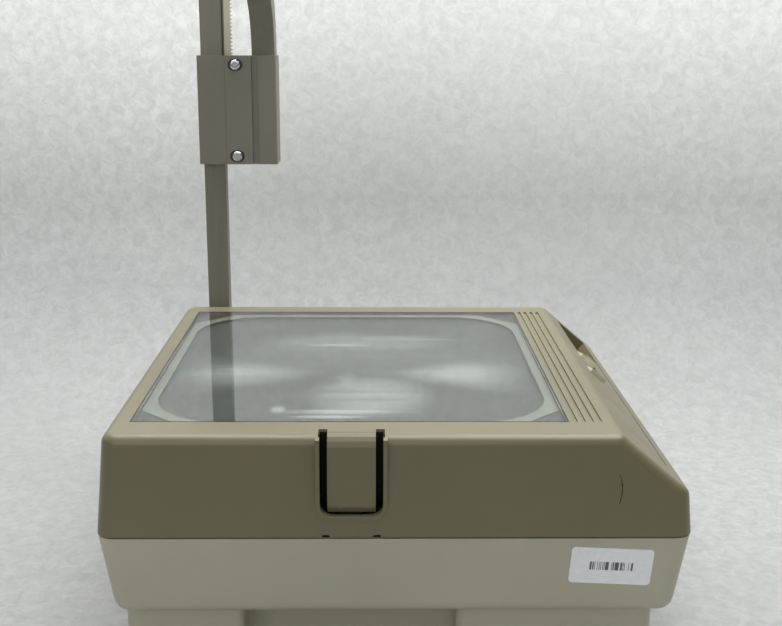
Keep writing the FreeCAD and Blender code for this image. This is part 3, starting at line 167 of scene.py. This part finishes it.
def enamelled(name, colour, roughness):
    """Satin enamel on metal, with slight orange peel and rubbed streaks along its length."""
    g = Graph(name)
    stretched = g.moved(scale=(90, 90, 5))
    streaks = g.noise(3, 5, 0.7, vector=stretched)
    base = g.mix(g.remap(streaks, 0.35, 0.7), shade(colour, 0.93), shade(colour, 1.06))
    chips = g.remap(g.noise(260, 4, 0.8), 0.72, 0.75, 0, 0.5)
    g.set("Base Color", g.mix(chips, base, shade(colour, 0.4)))
    g.set("Roughness", g.remap(streaks, 0.3, 0.7, roughness - 0.04, roughness + 0.08))
    g.set("Normal", g.bump(g.noise(420, 2, 0.5), 0.02 * MM))
    return g


def metal(name, colour, roughness, streak_scale=(3, 120, 120)):
    """Plated or brushed metal with fine directional marks and light tarnish."""
    g = Graph(name, Metallic=1.0)
    lines = g.noise(4, 6, 0.75, vector=g.moved(scale=streak_scale))
    tarnish = g.remap(g.noise(45, 5, 0.6), 0.45, 0.75, 0, 0.5)
    g.set("Base Color", g.mix(tarnish, colour, shade(colour, 0.72)))
    g.set("Roughness", g.remap(lines, 0.3, 0.7, roughness - 0.05, roughness + 0.1))
    g.set("Normal", g.bump(lines, 0.01 * MM))
    return g


def matt_black(name, level, roughness):
    """Black rubber or moulding with a dusty bloom."""
    g = Graph(name)
    bloom = g.remap(g.noise(60, 6, 0.7), 0.4, 0.8, 0, 0.6)
    clean = (level, level, level * 0.98, 1)
    dusty = (level * 2.4, level * 2.3, level * 2.1, 1)
    g.set("Base Color", g.mix(bloom, clean, dusty))
    g.set("Roughness", g.remap(g.noise(150, 3), 0.3, 0.7, roughness - 0.06, roughness + 0.06))
    g.set("Normal", g.bump(g.noise(1500, 2), 0.02 * MM))
    return g


def clear_glass(name, tint, rough_low=0.0, rough_high=0.05, ior=1.5):
    """Clear glass with wiped smears in its polish."""
    g = Graph(name, Base_Color=tint, Transmission_Weight=1.0, IOR=ior)
    wiped = g.noise(5, 6, 0.6, vector=g.moved(scale=(2, 9, 2), rotation=(0, 0, 0.5)))
    g.set("Roughness", g.remap(wiped, 0.45, 0.75, rough_low, rough_high))
    g.set("Normal", g.bump(g.noise(12, 2), 0.004 * MM))
    return g


LID_COLOUR = tone(114, 107, 79)
BASE_COLOUR = tone(181, 176, 154)
COLUMN_COLOUR = tone(132, 128, 112)
CARRIAGE_COLOUR = tone(133, 128, 113)
KEY_COLOUR = tone(214, 208, 184)


def latch_shadow(g, x, y, z):
    """Painted shade inside the latch recess, either side of and below the tongue."""
    low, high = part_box("latch_tongue")
    middle, half = (low.x + high.x) / 2, (high.x - low.x) / 2
    slot_width, slot_start, slot_end, foot_height = 5.5 * MM, 6.2 * MM, 18 * MM, 26 * MM
    away = g.math("ABSOLUTE", g.math("SUBTRACT", x, middle))
    beside = g.math("MULTIPLY", g.math("GREATER_THAN", away, half + 0.1 * MM),
                    g.math("LESS_THAN", away, half + slot_width))
    below = g.math("MULTIPLY", g.math("LESS_THAN", away, half + 0.2 * MM),
                   g.math("LESS_THAN", z, low.z + foot_height))
    inner = g.math("GREATER_THAN", y, CAD_FRONT + slot_start)
    shallow = g.math("LESS_THAN", y, CAD_FRONT + slot_end)
    place = g.math("MULTIPLY", g.math("MAXIMUM", beside, below),
                   g.math("GREATER_THAN", z, low.z - 20 * MM))
    return g.math("MULTIPLY", place, g.math("MULTIPLY", inner, shallow))


def lid_material():
    """The lid's moulding, with one short curved scratch on the front by the slope, painted shade in
    the latch recess and a painted lighter top on upward faces.
    """
    g = moulded("lid_plastic", LID_COLOUR, 0.35, grain_depth=0.004 * MM, soil=0.05,
                specular=0.55)
    x, y, z = g.axes()
    across = g.math("SUBTRACT", x, SCRATCH_X)
    rise = g.math("SUBTRACT", z, SCRATCH_Z)
    bow = g.math("MULTIPLY", g.math("MULTIPLY", rise, rise), SCRATCH_BOW)
    away = g.math("ABSOLUTE", g.math("ADD", across, bow))
    ragged = g.remap(g.noise(500, 3), 0.3, 0.7, 0.15 * MM, 0.4 * MM)
    line = g.math("LESS_THAN", away, ragged)
    reach = g.math("LESS_THAN", g.math("ABSOLUTE", rise), SCRATCH_REACH)
    front = g.math("LESS_THAN", y, CAD_FRONT + 12 * MM)
    scratch_and_slot_shade = g.math("MULTIPLY", g.math("MULTIPLY", line, reach), front)
    # the scratch is real wear; the latch recess mask adds painted shade: darker colour and lower
    # specular in the slots
    scratch_and_slot_shade = g.math("MAXIMUM", scratch_and_slot_shade, latch_shadow(g, x, y, z))
    plain = g.surface.inputs["Base Color"].links[0].from_socket
    # paler on upward faces: painted top light standing in for the overhead lamp, with some settled
    # dust
    facing_up = g.axes(g.node("ShaderNodeTexCoord").outputs["Normal"])[2]
    top_light_and_dust = g.math("MULTIPLY", g.remap(facing_up, 0.5, 0.95),
                  g.remap(g.noise(9, 1), 0.3, 0.7, 0.68, 0.78))
    dusty = g.mix(top_light_and_dust, plain, tone(144, 138, 113))
    # near-black for the scratch and for the painted shade in the latch slots
    g.set("Base Color", g.mix(g.math("MULTIPLY", scratch_and_slot_shade, 0.92), dusty, tone(10, 9, 6)))
    g.set("Specular IOR Level", g.remap(scratch_and_slot_shade, 0, 1, 0.55, 0.05))
    return g


def painted_light_patch(g, x, y, wisps, along, across, size_x, size_y, level):
    """Soft elliptical painted light patch in the grooved lens."""
    dx = g.math("DIVIDE", g.math("SUBTRACT", x, along), size_x)
    dy = g.math("DIVIDE", g.math("SUBTRACT", y, across), size_y)
    away = g.math("ADD", g.math("MULTIPLY", dx, dx), g.math("MULTIPLY", dy, dy))
    return g.math("MULTIPLY", g.remap(away, 0, 1, level, 0), g.remap(wisps, 0.3, 0.62, 0.35, 1))


# painted light patches: x and y from the stage centre and half sizes, all in metres, then strength
PAINTED_LIGHT_PATCHES = ((0.000, 0.058, 0.085, 0.036, 0.42), (-0.012, 0.052, 0.04, 0.006, 0.9),
         (0.012, -0.074, 0.046, 0.05, 0.62), (-0.004, -0.044, 0.012, 0.03, 0.5),
         (0.0, -0.108, 0.05, 0.006, 0.85), (-0.014, -0.118, 0.03, 0.004, 0.9),
         (-0.048, -0.104, 0.006, 0.009, 0.7), (0.05, 0.07, 0.04, 0.004, 0.5),
         (0.0, 0.02, 0.11, 0.07, 0.16))


def fresnel_material():
    """Grooved acrylic: painted concentric sheen, with painted light patches and wedges for the soft
    bright figures of the optics below, and painted shade towards the rim.
    """
    g = Graph("fresnel_acrylic", Specular_IOR_Level=0.25)
    low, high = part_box("stage_glass")
    centre = (low + high) / 2
    local = g.moved(location=(-centre.x, -centre.y, 0))
    x, y, _ = g.axes(local)
    radius = g.math("SQRT", g.math("ADD", g.math("MULTIPLY", x, x), g.math("MULTIPLY", y, y)))
    rings = g.node("ShaderNodeCombineXYZ", {0: g.math("MULTIPLY", radius, 520.0)}).outputs[0]
    ring_sheen = g.noise(1, 2, 0.6, vector=rings)
    wisps = g.noise(5, 6, 0.62, vector=g.moved(scale=(2.2, 13, 1), vector=local))
    soft = g.noise(9, 3, 0.5, vector=local)
    # two painted light wedges either side of the centre, widening outwards
    wedge_y, blunt = -22 * MM, 12 * MM
    lean = g.math("DIVIDE", g.math("ABSOLUTE", g.math("SUBTRACT", y, wedge_y)),
                  g.math("ADD", g.math("ABSOLUTE", x), blunt))
    light_wedge = g.remap(lean, 0.06, 0.42, 1, 0)
    outward = g.remap(g.math("ABSOLUTE", x), 0.01, 0.07, 0, 0.75)
    fade = g.remap(g.math("ABSOLUTE", x), 0.085, 0.128, 1, 0)
    bow = g.math("MULTIPLY", g.math("MULTIPLY", light_wedge, outward), fade)
    painted_light = g.math("MULTIPLY", bow, g.remap(wisps, 0.35, 0.65, 0.45, 1.0))
    for along, across, size_x, size_y, level in PAINTED_LIGHT_PATCHES:
        light_patch = painted_light_patch(g, x, y, wisps, along, across, size_x, size_y, level)
        painted_light = g.math("MAXIMUM", painted_light, light_patch)
    base = g.mix(g.remap(soft, 0.3, 0.7), tone(60, 65, 63), tone(70, 75, 73))
    # painted sheen: a lighter tone along the concentric grooves; the same ring pattern also varies
    # the roughness
    base = g.mix(g.remap(ring_sheen, 0.35, 0.65, 0, 0.22), base, tone(92, 97, 94))
    # painted shade: the lens darkens towards the frame's rim
    rim_shade_x = g.remap(g.math("ABSOLUTE", x), 0.104, 0.13, 0, 1)
    rim_shade_y = g.remap(g.math("ABSOLUTE", y), 0.112, 0.136, 0, 1)
    base = g.mix(g.math("MULTIPLY", g.math("MAXIMUM", rim_shade_x, rim_shade_y), 0.5), base, tone(38, 43, 42))
    # the painted light wedges and patches lighten the lens colour
    g.set("Base Color", g.mix(painted_light, base, tone(180, 185, 180)))
    g.set("Roughness", g.remap(ring_sheen, 0.3, 0.7, 0.32, 0.42))
    return g


def label_material():
    """White sticker with a generic row of plain bars."""
    g = Graph("label_paper", Roughness=0.38)
    turn = Euler((-math.atan2(BASE_DRAFT, BASE_HEIGHT), -LABEL_TILT, 0))
    low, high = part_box("asset_label")
    shift = -(turn.to_matrix() @ ((low + high) / 2))
    x, _, z = g.axes(g.moved(location=shift, rotation=turn))
    bar_step, share_of_gaps, half_width, half_height = 0.42 * MM, 0.46, 13.4 * MM, 2.9 * MM
    cell = g.math("FLOOR", g.math("DIVIDE", x, bar_step))
    random = g.node("ShaderNodeTexWhiteNoise", {"W": cell}, noise_dimensions="1D").outputs[0]
    bar = g.math("GREATER_THAN", random, share_of_gaps)
    inside = g.math("MULTIPLY", g.math("LESS_THAN", g.math("ABSOLUTE", x), half_width),
                    g.math("LESS_THAN", g.math("ABSOLUTE", z), half_height))
    ink = g.math("MULTIPLY", bar, inside)
    paper = g.mix(g.remap(g.noise(300, 4), 0.3, 0.7), tone(240, 242, 244), tone(249, 250, 251))
    g.set("Base Color", g.mix(g.math("MULTIPLY", ink, 0.9), paper, tone(34, 34, 38)))
    return g


def copper(name):
    """Taped winding: lacquered wire showing as close turns."""
    g = Graph(name)
    turns_per_metre = 5200.0
    turns = g.math("SINE", g.math("MULTIPLY", g.axes()[2], turns_per_metre))
    g.set("Base Color", g.mix(g.remap(turns, -1, 1), tone(96, 48, 20), tone(186, 108, 58)))
    g.set("Roughness", g.remap(g.noise(90), 0.3, 0.7, 0.3, 0.45))
    g.set("Normal", g.bump(turns, 0.1 * MM))
    return g


def studio_material(name, colour, contrast):
    """Pale mottled paper of the floor and backdrop, painted brighter higher up the backdrop, clear
    when seen from behind.
    """
    g = Graph(name, Roughness=0.9)
    blotches = g.noise(85, 9, 0.72, distortion=0.7)
    clouds = g.noise(2.2, 3, 0.5)
    base = g.mix(g.remap(blotches, 0.36, 0.64), shade(colour, 1 - contrast),
                 shade(colour, 1 + contrast))
    height = g.axes()[2]
    base = g.mix(g.remap(clouds, 0.3, 0.7, 0, 0.5), base, shade(colour, 0.9))
    # painted light: the backdrop grows brighter from 0.12 m to 0.42 m up
    painted_wall_light = g.mix(1.0, base, (1.85, 1.85, 1.83, 1), "MULTIPLY")
    g.set("Base Color", g.mix(g.remap(height, 0.12, 0.42), base, painted_wall_light))
    g.set("Normal", g.bump(blotches, 0.5 * MM))
    return g


MATERIALS = {
    "lid_plastic": lid_material(),
    "base_plastic": moulded("base_plastic", BASE_COLOUR, 0.36),
    "column_enamel": enamelled("column_enamel", COLUMN_COLOUR, 0.42),
    "carriage_plastic": moulded("carriage_plastic", CARRIAGE_COLOUR, 0.45),
    "rack_plastic": moulded("rack_plastic", tone(214, 205, 180), 0.5),
    "stage_glass": clear_glass("stage_glass", (0.87, 0.895, 0.88, 1), ior=1.33),
    "fresnel_acrylic": fresnel_material(),
    "mask_paint": moulded("mask_paint", tone(112, 117, 106), 0.55, soil=0.1, specular=0.3),
    "dark_frame": moulded("dark_frame", tone(46, 52, 52), 0.6, soil=0.1, specular=0.3),
    "black_rubber": matt_black("black_rubber", 0.02, 0.6),
    "key_plastic": moulded("key_plastic", KEY_COLOUR, 0.32),
    "zinc_steel": metal("zinc_steel", (0.62, 0.62, 0.6, 1), 0.38),
    "chrome_screw": metal("chrome_screw", (0.85, 0.85, 0.86, 1), 0.16),
    "lens_glass": clear_glass("lens_glass", (0.93, 0.96, 0.97, 1), 0.0, 0.02),
    "mirror_glass": metal("mirror_glass", (0.92, 0.93, 0.93, 1), 0.06, (1, 1, 1)),
    "knob_plastic": matt_black("knob_plastic", 0.028, 0.45),
    "aluminium": metal("aluminium", (0.8, 0.8, 0.81, 1), 0.2),
    "black_plastic": matt_black("black_plastic", 0.025, 0.5),
    "white_ceramic": moulded("white_ceramic", tone(226, 222, 210), 0.6),
    "copper_winding": copper("copper_winding"),
    "label_paper": label_material(),
}


def dress_nodes():
    """Give every CAD node the material of its slot in the record."""
    for part in frame["record"]["subparts"]:
        thing = NODES[part["node"]]
        thing.data.materials.clear()
        thing.data.materials.append(MATERIALS[part["material_slot"]].material)
    NODES["stage_glass"].visible_shadow = False


# ---------------------------------------------------------------- new pieces

def new_piece(name, mesh, body, slot, *stands_for):
    """A finished mesh as a piece that rides on a body."""
    thing = bpy.data.objects.new(name, mesh)
    bpy.context.scene.collection.objects.link(thing)
    thing.data.materials.clear()
    thing.data.materials.append(MATERIALS[slot].material)
    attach(thing, body)
    if stands_for:
        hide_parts(*stands_for)
    return thing


def grooved_sheet():
    """The upper Fresnel lens: concentric saw-tooth grooves cut to the frame's opening."""
    low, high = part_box("fresnel_upper")
    centre = (low + high) / 2
    pitch, depth, sides = 1.6 * MM, 0.08 * MM, 256
    reach = math.hypot(high.x - low.x, high.y - low.y) / 2
    rings = int(reach / pitch) + 1
    mesh = bmesh.new()
    previous = None
    for ring in range(1, rings):
        for radius, height in ((ring * pitch, high.z), (ring * pitch + 0.12 * MM, high.z - depth)):
            loop = [mesh.verts.new((centre.x + radius * math.cos(step * math.tau / sides),
                                    centre.y + radius * math.sin(step * math.tau / sides), height))
                    for step in range(sides)]
            if previous:
                for step in range(sides):
                    after = (step + 1) % sides
                    mesh.faces.new((previous[step], loop[step], loop[after], previous[after]))
            else:
                mesh.faces.new(loop)
            previous = loop
    for point, normal in ((low, (-1, 0, 0)), (low, (0, -1, 0)), (high, (1, 0, 0)), (high, (0, 1, 0))):
        everything = mesh.verts[:] + mesh.edges[:] + mesh.faces[:]
        bmesh.ops.bisect_plane(mesh, geom=everything, plane_co=point, plane_no=normal,
                               clear_outer=True)
    mesh.normal_update()
    result = bpy.data.meshes.new("fresnel_grooves")
    mesh.to_mesh(result)
    mesh.free()
    new_piece("fresnel_grooves", result, "stage_lid", "fresnel_acrylic", "fresnel_upper")


def screw_wells():
    """Black obround inlays behind the two sleeve screws."""
    low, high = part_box("sleeve_screws")
    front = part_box("sleeve_cover")[0].y - 0.15 * MM
    middle_x, half_width, straight, sides = (low.x + high.x) / 2, 4.9 * MM, 1.4 * MM, 24
    mesh = bmesh.new()
    for middle_z in (low.z + 4.4 * MM, high.z - 4.4 * MM):
        outline = []
        for step in range(sides):
            angle = step / sides * math.tau
            shift = straight if math.cos(angle) >= 0 else -straight
            outline.append((middle_x + shift + half_width * math.cos(angle),
                            middle_z + half_width * math.sin(angle)))
        front_loop = [mesh.verts.new((x, front, z)) for x, z in outline]
        back_loop = [mesh.verts.new((x, front + 1 * MM, z)) for x, z in outline]
        mesh.faces.new(front_loop)
        mesh.faces.new(back_loop[::-1])
        for step in range(sides):
            after = (step + 1) % sides
            mesh.faces.new((front_loop[step], back_loop[step], back_loop[after], front_loop[after]))
    bmesh.ops.recalc_face_normals(mesh, faces=mesh.faces[:])
    result = bpy.data.meshes.new("screw_wells")
    mesh.to_mesh(result)
    mesh.free()
    new_piece("screw_wells", result, "focus_carriage", "black_plastic")


# ---------------------------------------------------------------- studio

FLOOR_REACH = 3.0
SWEEP_START, SWEEP_RADIUS, WALL_TOP = 0.26, 0.22, 2.6


def studio():
    """Pale floor that sweeps up into a backdrop behind the object."""
    profile = [(-FLOOR_REACH, 0), (SWEEP_START, 0)]
    for step in range(1, 17):
        angle = step / 16 * math.pi / 2
        profile.append((SWEEP_START + SWEEP_RADIUS * math.sin(angle),
                        SWEEP_RADIUS * (1 - math.cos(angle))))
    profile.append((SWEEP_START + SWEEP_RADIUS, WALL_TOP))
    mesh = bmesh.new()
    rows = [[mesh.verts.new((x, y, z)) for x in (-FLOOR_REACH, FLOOR_REACH)] for y, z in profile]
    for near, far in zip(rows, rows[1:]):
        mesh.faces.new((near[0], near[1], far[1], far[0]))
    result = bpy.data.meshes.new("studio_sweep")
    mesh.to_mesh(result)
    mesh.free()
    for polygon in result.polygons:
        polygon.use_smooth = True
    sweep = bpy.data.objects.new("studio_sweep", result)
    bpy.context.scene.collection.objects.link(sweep)
    paper = studio_material("studio_paper", tone(186, 187, 186), 0.14)
    tree = paper.tree
    seen = paper.node("ShaderNodeNewGeometry").outputs["Backfacing"]
    clear = paper.node("ShaderNodeBsdfTransparent").outputs[0]
    blend = paper.node("ShaderNodeMixShader", {0: seen, 1: paper.surface.outputs[0], 2: clear})
    tree.links.new(blend.outputs[0], tree.nodes["Material Output"].inputs["Surface"])
    sweep.data.materials.append(paper.material)


def area_light(name, at, aim, size, power):
    data = bpy.data.lights.new(name, "AREA")
    data.shape = "RECTANGLE"
    data.size, data.size_y = size
    data.energy = power
    lamp = bpy.data.objects.new(name, data)
    lamp.location = at
    lamp.rotation_euler = (Vector(aim) - Vector(at)).to_track_quat("-Z", "Y").to_euler()
    bpy.context.scene.collection.objects.link(lamp)


def lights():
    area_light("overhead", (0.1, 0.1, 1.9), (0, 0, 0.1), (1.9, 1.1), 32)
    area_light("wall_wash", (0, 0.12, 1.15), (0, 0.48, 0.55), (1.8, 0.25), 7)
    area_light("fill", (-0.5, -2.0, 1.1), (0, 0, 0.12), (1.8, 1.2), 10.5)
    world = bpy.data.worlds.new("room")
    world.use_nodes = True
    background = world.node_tree.nodes["Background"]
    background.inputs["Color"].default_value = (0.9, 0.95, 1, 1)
    background.inputs["Strength"].default_value = 0.16
    bpy.context.scene.world = world


CAMERA_AT = Vector((-0.0139, -0.8288, 0.4047))
PITCH, YAW, ROLL = math.radians(13.92), math.radians(0.95), math.radians(0.32)
LENS, SENSOR = 51.56, 36


def camera():
    """Camera at the reference view, given by its place, pitch, yaw and roll."""
    forward = Vector((math.sin(YAW) * math.cos(PITCH), math.cos(YAW) * math.cos(PITCH),
                      -math.sin(PITCH)))
    right = Vector((math.cos(YAW), -math.sin(YAW), 0))
    down = forward.cross(right)
    turned_right = math.cos(ROLL) * right - math.sin(ROLL) * down
    turned_down = math.sin(ROLL) * right + math.cos(ROLL) * down
    data = bpy.data.cameras.new("camera")
    data.lens, data.sensor_width = LENS, SENSOR
    thing = bpy.data.objects.new("camera", data)
    axes = Matrix((turned_right, -turned_down, -forward)).transposed()
    thing.matrix_world = Matrix.Translation(CAMERA_AT) @ axes.to_4x4()
    bpy.context.scene.collection.objects.link(thing)
    bpy.context.scene.camera = thing
    bpy.context.scene.view_settings.view_transform = "Standard"


dress_nodes()
grooved_sheet()
screw_wells()
studio()
lights()
camera()
